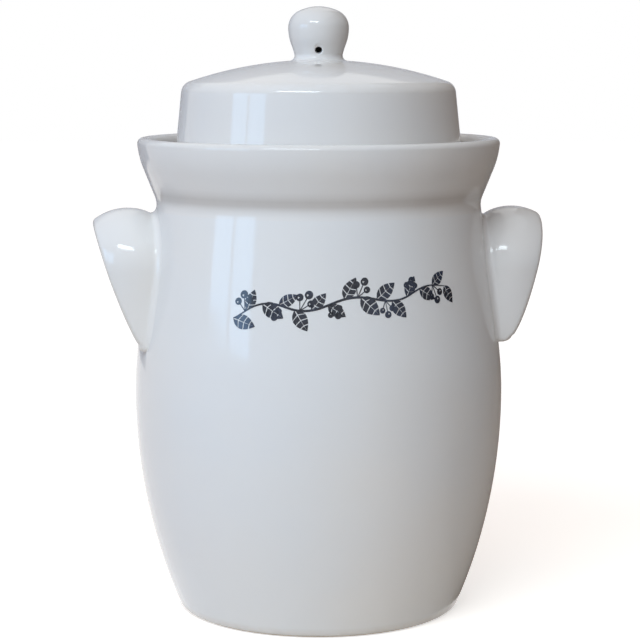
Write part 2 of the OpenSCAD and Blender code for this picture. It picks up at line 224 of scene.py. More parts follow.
def stoneMaterial(name, look):
    material = bpy.data.materials.new(name)
    material.use_nodes = True
    tree = material.node_tree
    shader = tree.nodes["Principled BSDF"]
    place = addNode(tree, "ShaderNodeTexCoord").outputs["Object"]
    cloud = addNode(tree, "ShaderNodeTexNoise", {"Vector": place, "Scale": look["cloudScale"], "Detail": 4.0})
    grain = addNode(tree, "ShaderNodeTexNoise", {"Vector": place, "Scale": look["grainScale"], "Detail": 5.0})
    tone = mixColor(tree, rampNode(tree, cloud.outputs["Fac"], 0.3, 0.7), look["dark"], look["light"])
    cells = addNode(tree, "ShaderNodeTexVoronoi", {"Vector": place, "Scale": look["speckScale"]})
    chance = addNode(tree, "ShaderNodeSeparateColor", {"Color": cells.outputs["Color"]})
    speck = mathNode(tree, "MULTIPLY", mathNode(tree, "LESS_THAN", cells.outputs["Distance"], look["speckSize"]),
                     mathNode(tree, "GREATER_THAN", chance.outputs["Red"], 1 - look["speckShare"]))
    tree.links.new(mixColor(tree, speck, tone, look["speckTone"]), shader.inputs["Base Color"])
    tree.links.new(rampNode(tree, grain.outputs["Fac"], 0.3, 0.7, 0.72, 0.92), shader.inputs["Roughness"])
    bump = addNode(tree, "ShaderNodeBump", {"Height": grain.outputs["Fac"], "Distance": look["depth"]})
    tree.links.new(bump.outputs["Normal"], shader.inputs["Normal"])
    return material


bareStoneware = {
    "dark": (0.46, 0.36, 0.25), "light": (0.62, 0.52, 0.39), "cloudScale": 30.0,
    "grainScale": 500.0, "speckTone": (0.16, 0.11, 0.08), "speckScale": 260.0, "speckShare": 0.12,
    "speckSize": 0.16, "depth": 0.0003,
}

bodyGlaze = glazeMaterial("creamGlazeBody", {**creamGlaze, "cool": (0.710, 0.722, 0.722), "warm": (0.738, 0.73, 0.705)})
# The collar's copy of the glaze has a greyer, less streaky thinning tone, which paints the band of shade under the
# collar
collarGlazeAndShade = glazeMaterial("creamGlazeCollar", {**creamGlaze, "thinningAndShadeTone": (0.48, 0.45, 0.42), "streakLow": 0.92})
gripGlaze = glazeMaterial("creamGlazeGrip", creamGlaze)
lidGlaze = glazeMaterial("creamGlazeLid", creamGlaze)
# Painted shade: the knob's copy of the cream glaze is made darker to tone down the light the lamps put on the knob
knobGlazeShaded = glazeMaterial("creamGlazeKnob", {**creamGlaze, "cool": (0.66, 0.66, 0.65), "warm": (0.69, 0.67, 0.64)})
sprigInk = inkMaterial("blueBlackInk", blueBlackInk)
stoneClay = stoneMaterial("bareStoneware", bareStoneware)
print("glazes mixed")


# Profiles: lists of (distance from the axis, height, thin glaze and painted shade, bare clay)

def arcPoints(centre, radius, fromDegrees, toDegrees, steps, thin=0.0, bare=0.0):
    points = []
    for i in range(steps + 1):
        a = math.radians(fromDegrees + (toDegrees - fromDegrees) * i / steps)
        points.append((centre[0] + radius * math.cos(a), centre[1] + radius * math.sin(a), thin, bare))
    return points


def linePoints(a, b, steps, bare=0.0):
    return [(a[0] + (b[0] - a[0]) * i / steps, a[1] + (b[1] - a[1]) * i / steps, 0.0, bare)
            for i in range(steps + 1)]


def tidyProfile(points, closed):
    kept = [points[0]]
    for p in points[1:]:
        if math.dist(p[:2], kept[-1][:2]) > 1e-6:
            kept.append(p)
    if closed and math.dist(kept[0][:2], kept[-1][:2]) > 1e-6:
        kept.append(kept[0])
    return kept


def turningTree():
    # Spins a profile, given as a row of points, round Z, and welds the seam and the poles
    tree = bpy.data.node_groups.new("turnedOnTheWheel", "GeometryNodeTree")
    face = tree.interface
    face.new_socket("Profile", in_out="INPUT", socket_type="NodeSocketGeometry")
    face.new_socket("Segments", in_out="INPUT", socket_type="NodeSocketInt").default_value = 96
    face.new_socket("Wobble", in_out="INPUT", socket_type="NodeSocketFloat").default_value = 0.0
    face.new_socket("Glaze", in_out="INPUT", socket_type="NodeSocketMaterial")
    face.new_socket("Piece", in_out="OUTPUT", socket_type="NodeSocketGeometry")
    given = addNode(tree, "NodeGroupInput").outputs

    rows = addNode(tree, "GeometryNodeAttributeDomainSize", {"Geometry": given["Profile"]}).outputs["Point Count"]
    columns = mathNode(tree, "ADD", given["Segments"], 1.0)
    grid = addNode(tree, "GeometryNodeMeshGrid", {"Vertices X": columns, "Vertices Y": rows}).outputs["Mesh"]
    index = addNode(tree, "GeometryNodeInputIndex").outputs[0]
    row = mathNode(tree, "MODULO", index, rows)
    column = mathNode(tree, "FLOOR", mathNode(tree, "DIVIDE", index, rows))
    angle = mathNode(tree, "MULTIPLY", mathNode(tree, "DIVIDE", column, given["Segments"]), math.tau)

    def fromProfile(value, kind):
        return addNode(tree, "GeometryNodeSampleIndex", {"Geometry": given["Profile"], "Value": value, "Index": row},
                       data_type=kind).outputs["Value"]

    point = fromProfile(addNode(tree, "GeometryNodeInputPosition").outputs[0], "FLOAT_VECTOR")
    point = addNode(tree, "ShaderNodeSeparateXYZ", {0: point}).outputs
    cosine, sine = mathNode(tree, "COSINE", angle), mathNode(tree, "SINE", angle)
    onRing = addNode(tree, "ShaderNodeCombineXYZ", {
        0: mathNode(tree, "MULTIPLY", point["X"], cosine),
        1: mathNode(tree, "MULTIPLY", point["X"], sine),
        2: point["Z"]}).outputs[0]
    # The potter's hand: a slow, slight swelling that fades to nothing on the axis
    swell = addNode(tree, "ShaderNodeTexNoise", {"Vector": onRing, "Scale": 14.0, "Detail": 1.0}).outputs["Fac"]
    swell = mathNode(tree, "MULTIPLY", mathNode(tree, "SUBTRACT", swell, 0.5), given["Wobble"])
    swell = mathNode(tree, "MULTIPLY", swell, rampNode(tree, point["X"], 0.0, 0.05))
    radius = mathNode(tree, "ADD", point["X"], swell)
    onRing = addNode(tree, "ShaderNodeCombineXYZ", {
        0: mathNode(tree, "MULTIPLY", radius, cosine),
        1: mathNode(tree, "MULTIPLY", radius, sine),
        2: point["Z"]}).outputs[0]
    piece = addNode(tree, "GeometryNodeSetPosition", {"Geometry": grid, "Position": onRing}).outputs[0]
    for name in ("thinGlaze", "bareClay"):
        value = addNode(tree, "GeometryNodeInputNamedAttribute", {"Name": name}).outputs["Attribute"]
        piece = addNode(tree, "GeometryNodeStoreNamedAttribute",
                        {"Geometry": piece, "Name": name, "Value": fromProfile(value, "FLOAT")}).outputs[0]
    piece = addNode(tree, "GeometryNodeMergeByDistance", {"Geometry": piece, "Distance": 2e-6}).outputs[0]
    lonely = addNode(tree, "GeometryNodeInputMeshEdgeNeighbors").outputs[0]
    lonely = addNode(tree, "FunctionNodeCompare", {2: lonely, 3: 0}, data_type="INT", operation="EQUAL").outputs[0]
    piece = addNode(tree, "GeometryNodeDeleteGeometry", {"Geometry": piece, "Selection": lonely}, domain="EDGE").outputs[0]
    piece = addNode(tree, "GeometryNodeRealizeInstances", {"Geometry": piece}).outputs[0]
    piece = addNode(tree, "GeometryNodeSetMaterial", {"Geometry": piece, "Material": given["Glaze"]}).outputs[0]
    out = addNode(tree, "NodeGroupOutput")
    tree.links.new(piece, out.inputs[0])
    return tree


def runTree(piece, tree, values):
    # Runs a node tree on an object once and leaves a plain mesh
    modifier = piece.modifiers.new("shape", "NODES")
    modifier.node_group = tree
    for item in tree.interface.items_tree:
        if item.item_type == "SOCKET" and item.in_out == "INPUT" and item.name in values:
            modifier[item.identifier] = values[item.name]
    graph = bpy.context.evaluated_depsgraph_get()
    mesh = bpy.data.meshes.new_from_object(piece.evaluated_get(graph), depsgraph=graph)
    piece.modifiers.remove(modifier)
    piece.data = mesh
    mesh.name = piece.name


def linkPiece(name, mesh):
    piece = bpy.data.objects.new(name, mesh)
    bpy.context.scene.collection.objects.link(piece)
    return piece


def settle(piece, sharpDegrees=40.0):
    # Smooth faces that point outwards, sharp only where two faces meet at an angle
    mesh = piece.data
    work = bmesh.new()
    work.from_mesh(mesh)
    bmesh.ops.remove_doubles(work, verts=work.verts, dist=1e-7)
    bmesh.ops.recalc_face_normals(work, faces=work.faces)
    work.to_mesh(mesh)
    work.free()
    mesh.shade_smooth()
    mesh.set_sharp_from_angle(angle=math.radians(sharpDegrees))


turning = turningTree()


def turnedPiece(name, points, look, glaze, closed):
    points = tidyProfile(points, closed)
    mesh = bpy.data.meshes.new(name)
    mesh.from_pydata([(p[0], 0, p[1]) for p in points], [(i, i + 1) for i in range(len(points) - 1)], [])
    for slot, key in ((2, "thinGlaze"), (3, "bareClay")):
        attribute = mesh.attributes.new(key, "FLOAT", "POINT")
        attribute.data.foreach_set("value", [p[slot] for p in points])
    piece = linkPiece(name, mesh)
    runTree(piece, turning, {"Segments": look["segments"], "Wobble": look["wobble"], "Glaze": glaze})
    settle(piece)
    return piece


# Belly vessel

bellyLook = {
    "bellyHeight": 0.120, "footIn": 0.0245, "footRound": 0.0045, "neckIn": 0.0123, "shoulderCurve": 0.225,
    "wall": 0.008, "floor": 0.010, "innerRound": 0.014, "footRingWidth": 0.009, "baseHollow": 0.0025,
    "segments": 240, "wobble": 0.0006,
}
bellyHeight = bellyLook["bellyHeight"]
footR = bellyR - bellyLook["footIn"]
neckR = bellyR - bellyLook["neckIn"]
lowerCurve = ((bellyR - footR) ** 2 + bellyHeight ** 2) / (2 * (bellyR - footR))
lowerX = bellyR - lowerCurve
shoulderX = bellyR - bellyLook["shoulderCurve"]
neckSpan = math.hypot(neckR - shoulderX, neckHeight - bellyHeight)
shoulderLean = math.atan2(neckHeight - bellyHeight, neckR - shoulderX) - math.acos(bellyLook["shoulderCurve"] / neckSpan)
shoulderEnd = bellyHeight + bellyLook["shoulderCurve"] * math.sin(shoulderLean)


def outsideR(h):
    # Outside radius of the belly at a height
    if h < bellyHeight:
        return lowerX + math.sqrt(lowerCurve ** 2 - (bellyHeight - h) ** 2)
    if h < shoulderEnd:
        return shoulderX + math.sqrt(bellyLook["shoulderCurve"] ** 2 - (h - bellyHeight) ** 2)
    return neckR + (neckHeight - h) * math.tan(shoulderLean)


def cornerCentre(inset, radius, h):
    span = math.sqrt((lowerCurve - inset - radius) ** 2 - (bellyHeight - h - radius) ** 2)
    return lowerX + span, h + radius


def bellyLine(inset, radius, h, bare=0.0):
    centre = cornerCentre(inset, radius, h)
    turn = math.degrees(math.atan2(centre[1] - bellyHeight, centre[0] - lowerX))
    lean = math.degrees(shoulderLean)
    corner = arcPoints(centre, radius, -90, turn, 12)
    if bare:
        # The glaze is wiped off the lowest part of the foot's rounding
        corner = [(p[0], p[1], 0.5, max(0.0, 1 - (p[1] - h) / 0.0022)) for p in corner]
    neck = (neckR - inset / math.cos(shoulderLean), neckHeight)
    bend = arcPoints((shoulderX, bellyHeight), bellyLook["shoulderCurve"] - inset, 0, lean, 12)
    return (corner + arcPoints((lowerX, bellyHeight), lowerCurve - inset, turn, 0, 40)
            + bend + linePoints(bend[-1], neck, 16))


def makeBelly():
    footEdge = cornerCentre(0, bellyLook["footRound"], 0)[0]
    ringIn = footEdge - bellyLook["footRingWidth"]
    hollow = bellyLook["baseHollow"]
    under = [(0, hollow, 0, 0), (ringIn - 0.012, hollow, 0, 0), (ringIn - hollow, hollow, 0, 0.6),
             (ringIn - hollow * 0.7, hollow * 0.9, 0, 0.9), (ringIn - 0.0008, 0.0004, 0, 1), (ringIn, 0, 0, 1)]
    under += linePoints((ringIn, 0), (footEdge, 0), 6, bare=1.0)
    inside = bellyLine(bellyLook["wall"], bellyLook["innerRound"], bellyLook["floor"])[::-1]
    points = (under + bellyLine(0, bellyLook["footRound"], 0, bare=1.0)
              + inside + linePoints(inside[-1], (0, bellyLook["floor"]), 8))
    piece = turnedPiece("crockBelly", points, bellyLook, bodyGlaze, closed=False)
    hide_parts("crock_body")
    return piece


belly = makeBelly()
print("belly turned")


# Gutter collar

collarLook = {
    "wall": 0.0075, "neckFillet": 0.012, "neckRise": 0.001, "faceCurve": 0.048, "faceLean": 5, "lipOut": 0.0030,
    # The shade band keys paint a darker band of shade under the collar's overhang, above the seam
    "lipIn": 0.0042, "rimCurve": 0.020, "rimBand": 0.001, "shelf": 0.008, "shadeBandStrength": 0.72, "shadeBandHeight": 0.0088, "shadeBandSpread": 0.0034,
    "gutterRound": 0.005, "gutterInnerRound": 0.002, "gutterWidth": 0.015, "innerNeck": 0.008,
    "innerNeckRise": 0.003, "shelfRound": 0.004, "rimRise": 0.039,
    "segments": 240, "wobble": 0.0005,
}
rimHeight = neckHeight + collarLook["rimRise"]


def flareBetween(low, high, reach):
    # Degrees from upright of the straight line that touches two arcs, whose radii add up to reach
    dx, dz = high[0] - low[0], high[1] - low[1]
    return 90 - math.degrees(math.atan2(dz, dx)) + math.degrees(math.asin(reach / math.hypot(dx, dz)))


def makeCollar():
    look = collarLook
    wall, fillet, curve = look["wall"], look["neckFillet"], look["rimCurve"]
    lean = math.degrees(shoulderLean)
    lipOut, lipIn = look["lipOut"], look["lipIn"]

    # Outside: the hollow over the belly, then a face that flares less and less up to the rim
    start = (neckR - look["neckRise"] * math.sin(shoulderLean), neckHeight + look["neckRise"] * math.cos(shoulderLean))
    hollowCentre = (start[0] + fillet * math.cos(shoulderLean), start[1] + fillet * math.sin(shoulderLean))
    faceLean = look["faceLean"]
    lipCentre = (rimR - lipOut, rimHeight - lipOut)
    reach = look["faceCurve"] - lipOut
    faceCentre = (lipCentre[0] - reach * math.cos(math.radians(faceLean)),
                  lipCentre[1] + reach * math.sin(math.radians(faceLean)))
    faceFlare = flareBetween(hollowCentre, faceCentre, fillet + look["faceCurve"])

    # Inside: the gutter
    neckCentre = (neckR + fillet * math.cos(shoulderLean), neckHeight + fillet * math.sin(shoulderLean))
    rimCentre = (rimR - curve, rimHeight - wall / 2 - look["rimBand"])
    flare = flareBetween(neckCentre, rimCentre, fillet + curve)
    out = (math.cos(math.radians(flare)), -math.sin(math.radians(flare)))
    up = (-out[1], out[0])
    inset = curve - wall - look["gutterRound"]
    start = (rimCentre[0] + inset * out[0], rimCentre[1] + inset * out[1])
    drop = (start[1] - gutterFloor - look["gutterRound"]) / up[1]
    corner = (start[0] - up[0] * drop, start[1] - up[1] * drop)
    innerOut = corner[0] + look["gutterRound"] - look["gutterWidth"]
    innerIn = innerOut - look["innerNeck"]
    small, half = look["gutterInnerRound"], look["innerNeck"] / 2
    neckTop = rimHeight + look["innerNeckRise"] - half
    under = look["shelfRound"]
    hollow = arcPoints(hollowCentre, fillet, 180 + lean, 180 - faceFlare, 20)
    crown = arcPoints(faceCentre, look["faceCurve"], -faceFlare, -faceLean, 24)
    lip = (arcPoints(lipCentre, lipOut, -faceLean, 90, 14, thin=0.12)
           + arcPoints((rimR - wall + lipIn, rimHeight - lipIn), lipIn, 90, 180, 12, thin=0.12))
    wallIn = arcPoints(rimCentre, curve - wall, 0, -flare, 12)
    floorOut = arcPoints(corner, look["gutterRound"], -flare, -90, 8)
    floorIn = arcPoints((innerOut + small, gutterFloor + small), small, -90, -180, 6)
    neckRound = arcPoints((innerIn + half, neckTop), half, 0, 180, 16, thin=0.2)
    shelf = arcPoints((innerIn + under, neckHeight + under), under, 180, 270, 8)
    outside = (linePoints((neckR, neckHeight), hollow[0], 2) + hollow + linePoints(hollow[-1], crown[0], 6) + crown)
    # Painted shade: a soft band above the seam, where the collar overhangs the belly, is darkened through the
    # thin-glaze slot
    shadeBandMiddle = neckHeight + look["shadeBandHeight"]
    outside = [(r, z, look["shadeBandStrength"] * math.exp(-((z - shadeBandMiddle) / look["shadeBandSpread"]) ** 2), bare)
               for r, z, thin, bare in outside]
    points = (outside + lip + wallIn
              + linePoints(wallIn[-1], floorOut[0], 4) + floorOut
              + linePoints(floorOut[-1], floorIn[0], 4) + floorIn
              + linePoints(floorIn[-1], neckRound[0], 8) + neckRound
              + linePoints(neckRound[-1], shelf[0], 8) + shelf + linePoints(shelf[-1], (neckR, neckHeight), 6))
    piece = turnedPiece("gutterCollar", points, look, collarGlazeAndShade, closed=True)
    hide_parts("gutter_collar")
    return piece


collar = makeCollar()
print("collar turned")


# Lid

lidLook = {
    "wall": 0.0062, "straight": 0.028, "lean": 5.9, "height": 0.0733, "domeCurve": 0.219, "shoulder": 0.007,
    "edge": 0.002, "notch": 0.005, "notchFade": 0.020, "segments": 400, "wobble": 0.0004,
}
knobR = knobBox[1].x
domeCentre = gutterFloor + lidLook["height"] - lidLook["domeCurve"]
seatHeight = domeCentre + math.sqrt(lidLook["domeCurve"] ** 2 - knobR ** 2)


def makeLid():
    look = lidLook
    wall, edge = look["wall"], look["edge"]
    lean = math.radians(look["lean"])
    leanHeight = gutterFloor + look["straight"]
    leanUp = (-math.sin(lean), math.cos(lean))

    def domeLine(inset, radius, seatX):
        b = (skirtR - (inset + radius) * math.cos(lean), leanHeight - (inset + radius) * math.sin(lean))
        toDome = (b[0], b[1] - domeCentre)
        along = toDome[0] * leanUp[0] + toDome[1] * leanUp[1]
        rest = toDome[0] ** 2 + toDome[1] ** 2 - (look["domeCurve"] - inset - radius) ** 2
        step = math.sqrt(along ** 2 - rest) - along
        centre = (b[0] + leanUp[0] * step, b[1] + leanUp[1] * step)
        turn = math.degrees(math.atan2(centre[1] - domeCentre, centre[0]))
        stop = math.degrees(math.acos(seatX / (look["domeCurve"] - inset)))
        return (arcPoints(centre, radius, look["lean"], turn, 12, thin=0.15)
                + arcPoints((0, domeCentre), look["domeCurve"] - inset, turn, stop, 22))

    skirtIn = skirtR - wall
    outer = domeLine(0, look["shoulder"], knobR)
    inner = domeLine(wall, max(0.002, look["shoulder"] - wall / 2), 0)[::-1]
    bend = (skirtIn, leanHeight - wall * math.tan(lean / 2))
    points = (arcPoints((skirtR - edge, gutterFloor + edge), edge, -90, 0, 6, bare=1.0)
              + linePoints((skirtR, gutterFloor + edge), (skirtR, leanHeight), 16)
              + linePoints((skirtR, leanHeight), outer[0], 10) + outer + linePoints(outer[-1], (0, seatHeight), 4)
              + inner + linePoints(inner[-1], bend, 8) + linePoints(bend, (skirtIn, gutterFloor + edge), 16)
              + arcPoints((skirtIn + edge, gutterFloor + edge), edge, 180, 270, 6, bare=1.0))
    piece = turnedPiece("lidCap", points, look, lidGlaze, closed=True)
    # The two gas notches arch the skirt's lower edge up, on the left and on the right
    for vertex in piece.data.vertices:
        above = vertex.co.z - gutterFloor
        if above < look["notchFade"] and abs(vertex.co.y) < look["notch"]:
            lift = math.sqrt(look["notch"] ** 2 - vertex.co.y ** 2)
            vertex.co.z += lift * (1 - above / look["notchFade"]) ** 1.5
    settle(piece)
    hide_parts("lid_cap")
    return piece


lid = makeLid()
print("lid turned")


# Knob

knobLook = {
    "crown": 0.025, "edge": 0.010, "under": 0.026, "underLean": 21.0, "neck": 0.048, "foot": 0.003,
    "wall": 0.0046, "ventRadius": 0.0019, "ventHeight": 0.0056, "ventFlare": 0.0006, "ventTurn": -6.0, "ventDip": 12.0,
    "segments": 240, "wobble": 0.0,
}


def makeKnob():
    look = knobLook
    top = knobBox[1].z
    wall = look["wall"]
    crown = (0, top - look["crown"])
    edge = (knobR - look["edge"],
            crown[1] + math.sqrt((look["crown"] - look["edge"]) ** 2 - (knobR - look["edge"]) ** 2))
    turn = math.degrees(math.atan2(edge[1] - crown[1], edge[0]))
    under = (knobR - look["under"], edge[1])
    lean = math.radians(look["underLean"])
    reach = look["under"] + look["neck"]
    neck = (under[0] + reach * math.cos(lean), under[1] - reach * math.sin(lean))
    footTurn = math.asin((neck[1] - seatHeight - look["foot"]) / (look["neck"] - look["foot"]))
    foot = (neck[0] - (look["neck"] - look["foot"]) * math.cos(footTurn),
            neck[1] - (look["neck"] - look["foot"]) * math.sin(footTurn))
    hollowR = foot[0] - look["foot"] - wall
    footDegrees = math.degrees(footTurn)
    inner = arcPoints(under, look["under"] - wall, 0, -look["underLean"], 10)
    points = (arcPoints(foot, look["foot"], 270, 180 + footDegrees, 10)
              + arcPoints(neck, look["neck"], 180 + footDegrees, 180 - look["underLean"], 22)
              + arcPoints(under, look["under"], -look["underLean"], 0, 14)
              + arcPoints(edge, look["edge"], 0, turn, 12)
              + arcPoints(crown, look["crown"], turn, 90, 18)
              + arcPoints(crown, look["crown"] - wall, 90, turn, 10)
              + arcPoints(edge, look["edge"] - wall, turn, 0, 6) + inner
              + linePoints(inner[-1], (hollowR, seatHeight), 8))
    piece = turnedPiece("lidKnob", points, look, knobGlazeShaded, closed=True)

    # The kiln vent, with a softly rounded edge, is cut along the line towards the front
    middle = seatHeight + look["ventHeight"]
    surface = min(p[0] for p in points[:34] if abs(p[1] - middle) < 0.001)
    flare = look["ventFlare"]
    bore = [(0.0, -0.002), (look["ventRadius"], -0.002)]
    for i in range(8):
        a = math.radians(68 * i / 7)
        bore.append((look["ventRadius"] + flare * (1 - math.cos(a)), surface - flare + flare * math.sin(a)))
    slope = bore[-1]
    bore.append((slope[0] + 0.003 * math.sin(math.radians(68)), slope[1] + 0.003 * math.cos(math.radians(68))))
    bore.append((0.0, bore[-1][1]))
    cutter = bmesh.new()
    chain = [cutter.verts.new((r, 0, y)) for r, y in bore]
    edges = [cutter.edges.new(pair) for pair in zip(chain, chain[1:])]
    bmesh.ops.spin(cutter, geom=chain + edges, cent=(0, 0, 0), axis=(0, 0, 1), angle=math.tau, steps=48)
    bmesh.ops.remove_doubles(cutter, verts=cutter.verts, dist=1e-6)
    bmesh.ops.recalc_face_normals(cutter, faces=cutter.faces)
    # It dips to meet the leaning skin squarely
    dip = math.radians(look["ventDip"])
    meet = Matrix.Translation((0, surface * (math.cos(dip) - 1), middle + surface * math.sin(dip)))
    aim = (Matrix.Rotation(math.radians(look["ventTurn"]), 4, "Z") @ meet
           @ Matrix.Rotation(math.radians(90) + dip, 4, "X"))
    bmesh.ops.transform(cutter, matrix=aim, verts=cutter.verts)
    tool = bpy.data.meshes.new("ventCutter")
    cutter.to_mesh(tool)
    cutter.free()
    toolPiece = linkPiece("ventCutter", tool)
    cut = piece.modifiers.new("vent", "BOOLEAN")
    cut.object = toolPiece
    cut.operation = "DIFFERENCE"
    cut.solver = "EXACT"
    graph = bpy.context.evaluated_depsgraph_get()
    mesh = bpy.data.meshes.new_from_object(piece.evaluated_get(graph), depsgraph=graph)
    piece.modifiers.remove(cut)
    piece.data = mesh
    mesh.materials.clear()
    mesh.materials.append(knobGlazeShaded)
    bpy.data.objects.remove(toolPiece)
    settle(piece, 15.0)
    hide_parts("lid_knob")
    return piece


knob = makeKnob()
print("knob turned, vent cut")


# Shell grips

gripLook = {
    "crown": 0.223, "height": 0.072, "width": 0.064, "drawIn": 0.002, "wall": 0.0064, "swell": 0.030,
    "swellAt": 0.5, "bow": 0.00175, "reachIn": 0.0004, "endOut": 0.0043, "fillet": 0.003, "innerFillet": 0.003, "clingOver": 0.012,
    "tipLength": 0.004, "tipShare": 0.15, "legRings": 30, "crownRings": 80, "sink": 0.0003, "handPull": 0.00016,
}
# The right-hand grip came out of the hand fuller, with a blunter lower end
gripRightLook = {**gripLook, "crown": 0.2224, "height": 0.0695, "swellAt": 0.60,
                 "bow": 0.0021, "reachIn": 0.0011, "endOut": 0.0090,
                 "tipLength": 0.003, "tipShare": 0.35}


def gripSkin(look, side, bellySkin):
    # Rows of points round the grip's wall, from the lower end of one leg over the crown to the other
    foot = look["crown"] - look["height"]
    archR = look["width"] / 2
    archHeight = look["crown"] - archR
    swell, wall = look["swell"], look["wall"]
    midSwell = swell - wall / 2
    reach = gripBox[1].x - look["reachIn"]

    def wallX(y, h):
        hit = bellySkin.ray_cast(Vector((side * 0.2, y, min(h, neckHeight - 0.0002))), Vector((-side, 0, 0)))[0]
        return side * hit.x

    def fall(radius, dx):
        return swell - math.sqrt(max(0.0, radius ** 2 - dx ** 2))

    endReach = wallX(archR - look["drawIn"], foot) + look["endOut"]
    tipHeight = look["crown"] - fall(midSwell, (1 - look["swellAt"]) * (reach - wall / 2 - neckR))

    def edgeX(h):
        s = (h - foot) / (tipHeight - foot)
        return endReach + (reach - endReach) * s + 4 * look["bow"] * math.sqrt(max(0.0, s)) * (1 - s)

    def rootX(step, n):
        (y, h), (dy, dh) = step
        return wallX(y + n * dy, h + n * dh)

    def lipX(step):
        first = edgeX(step[0][1]) - wall / 2
        n = fall(midSwell, (1 - look["swellAt"]) * (first - rootX(step, 0)))
        return edgeX(step[0][1] + n * step[1][1]) - wall / 2

    def section(step):
        x0 = rootX(step, 0)
        end = max(lipX(step), x0 + wall / 4)
        mid = x0 + look["swellAt"] * (end - x0)
        outR, inR = swell, swell - wall
        lipA = math.asin((end - mid) / midSwell)
        lipC = (mid + midSwell * math.sin(lipA), swell - midSwell * math.cos(lipA))
        outFillet = min(look["fillet"], (end - x0) / 2)
        inFillet = min(look["innerFillet"], (end - x0) / 2)
        outFrom = -math.asin((mid - x0 - outFillet) / outR)
        inFrom = -math.asin(max(-1.0, min(1.0, (mid - x0 - inFillet) / inR)))
        outN = fall(outR, mid - x0 - outFillet)
        inN = fall(inR, mid - x0 - inFillet)
        points = []
        for i in range(8):
            a = math.radians(90 * i / 8)
            points.append((x0 + outFillet * (1 - math.cos(a)), outN - outFillet * (1 - math.sin(a)), 0.0))
        for i in range(13):
            a = outFrom + (lipA - outFrom) * i / 12
            points.append((mid + outR * math.sin(a), swell - outR * math.cos(a), 0.0))
        for i in range(1, 12):
            a = lipA - math.pi / 2 + math.pi * i / 12
            thin = math.sin(math.pi * i / 12)
            points.append((lipC[0] + wall / 2 * math.cos(a), lipC[1] + wall / 2 * math.sin(a), thin))
        for i in range(12, -1, -1):
            a = inFrom + (lipA - inFrom) * i / 12
            points.append((mid + inR * math.sin(a), swell - inR * math.cos(a), 0.0))
        for i in range(7, -1, -1):
            a = math.radians(90 * i / 8)
            points.append((x0 + inFillet * (1 - math.cos(a)), inN + inFillet * (1 - math.sin(a)), 0.0))
        return points

    def ring(step, share=1.0):
        points = section(step)
        root = (rootX(step, 0), (points[0][1] + points[-1][1]) / 2)
        (y, h), (dy, dh) = step
        row = []
        for i, (x, n, thin) in enumerate(points):
            x, n = root[0] + share * (x - root[0]), root[1] + share * (n - root[1])
            place = (y + n * dy, h + n * dh)
            behind = wallX(*place)
            # Near the root the clay is smeared along the belly, so it follows the belly's curve
            away = min(1.0, (x - root[0]) / look["clingOver"])
            x += (behind - root[0]) * (1 - away * away * (3 - 2 * away))
            onWall = i in (0, len(points) - 1)
            row.append((behind - look["sink"] * 0.3 if onWall else max(x, behind - look["sink"]), *place, thin))
        # Sunk points close the root inside the belly's wall
        first, last = row[0], row[-1]
        for i in (0.7, 0.3):
            y1, h1 = last[1] + (first[1] - last[1]) * (1 - i), last[2] + (first[2] - last[2]) * (1 - i)
            row.append((wallX(y1, h1) - 2 * look["sink"], y1, h1, 0.0))
        return row

    legs = [((archR - look["drawIn"] * (1 - i / look["legRings"]), foot + (archHeight - foot) * i / look["legRings"]),
             (-1.0, 0.0)) for i in range(look["legRings"])]
    crown = []
    for i in range(look["crownRings"] + 1):
        a = math.pi * i / look["crownRings"]
        crown.append(((archR * math.cos(a), archHeight + archR * math.sin(a)), (-math.cos(a), -math.sin(a))))
    mirrored = [((-s[0][0], s[0][1]), (-s[1][0], s[1][1])) for s in legs[::-1]]
    # Each leg ends in a rounded, pressed-on tip
    tips = []
    for i in range(6):
        a = math.radians(90 * i / 6)
        tips.append((look["tipLength"] * math.cos(a), look["tipShare"] + (1 - look["tipShare"]) * math.sin(a)))
    rows = [ring(((legs[0][0][0], foot - drop), (-1.0, 0.0)), share) for drop, share in tips]
    rows += [ring(step) for step in legs + crown + mirrored]
    rows += [ring(((-legs[0][0][0], foot - drop), (1.0, 0.0)), share) for drop, share in tips[::-1]]
    return rows


def makeGrip(name, node, side, look):
    bellySkin = BVHTree.FromObject(belly, bpy.context.evaluated_depsgraph_get())
    rows = gripSkin(look, side, bellySkin)
    count = len(rows[0])
    mesh = bpy.data.meshes.new(name)
    faces = [(j * count + i, j * count + (i + 1) % count, (j + 1) * count + (i + 1) % count, (j + 1) * count + i)
             for j in range(len(rows) - 1) for i in range(count)]
    faces += [tuple(range(count)), tuple((len(rows) - 1) * count + i for i in range(count - 1, -1, -1))]
    points = []
    for row in rows:
        for x, y, z, thin in row:
            # Slight unevenness of a hand-pulled wall, none where it meets the belly
            free = min(1.0, max(0.0, (x - math.sqrt(max(0.0, outsideR(min(z, neckHeight)) ** 2 - y * y))) / 0.008))
            push = noise.noise_vector(Vector((x * side, y, z)) * 45) * look["handPull"] * free
            points.append((side * (x + push.x - look["handPull"] * 0.5 * free), y + push.y, z + push.z))
    mesh.from_pydata(points, [], faces)
    attribute = mesh.attributes.new("thinGlaze", "FLOAT", "POINT")
    attribute.data.foreach_set("value", [p[3] * 0.5 for row in rows for p in row])
    mesh.materials.append(gripGlaze)
    piece = linkPiece(name, mesh)
    settle(piece, 55)
    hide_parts(node)
    return piece


gripLeft = makeGrip("gripLeft", "handle_left", -1, gripLook)
gripRight = makeGrip("gripRight", "handle_right", 1, gripRightLook)
print("grips pulled")


# Weighting stones

stoneLook = {
    "rim": 0.006, "soft": 0.0018, "finger": 0.011, "gap": 0.0016, "arcSteps": 72, "flatSteps": 14,
    "holeSteps": 20, "levels": 8,
}


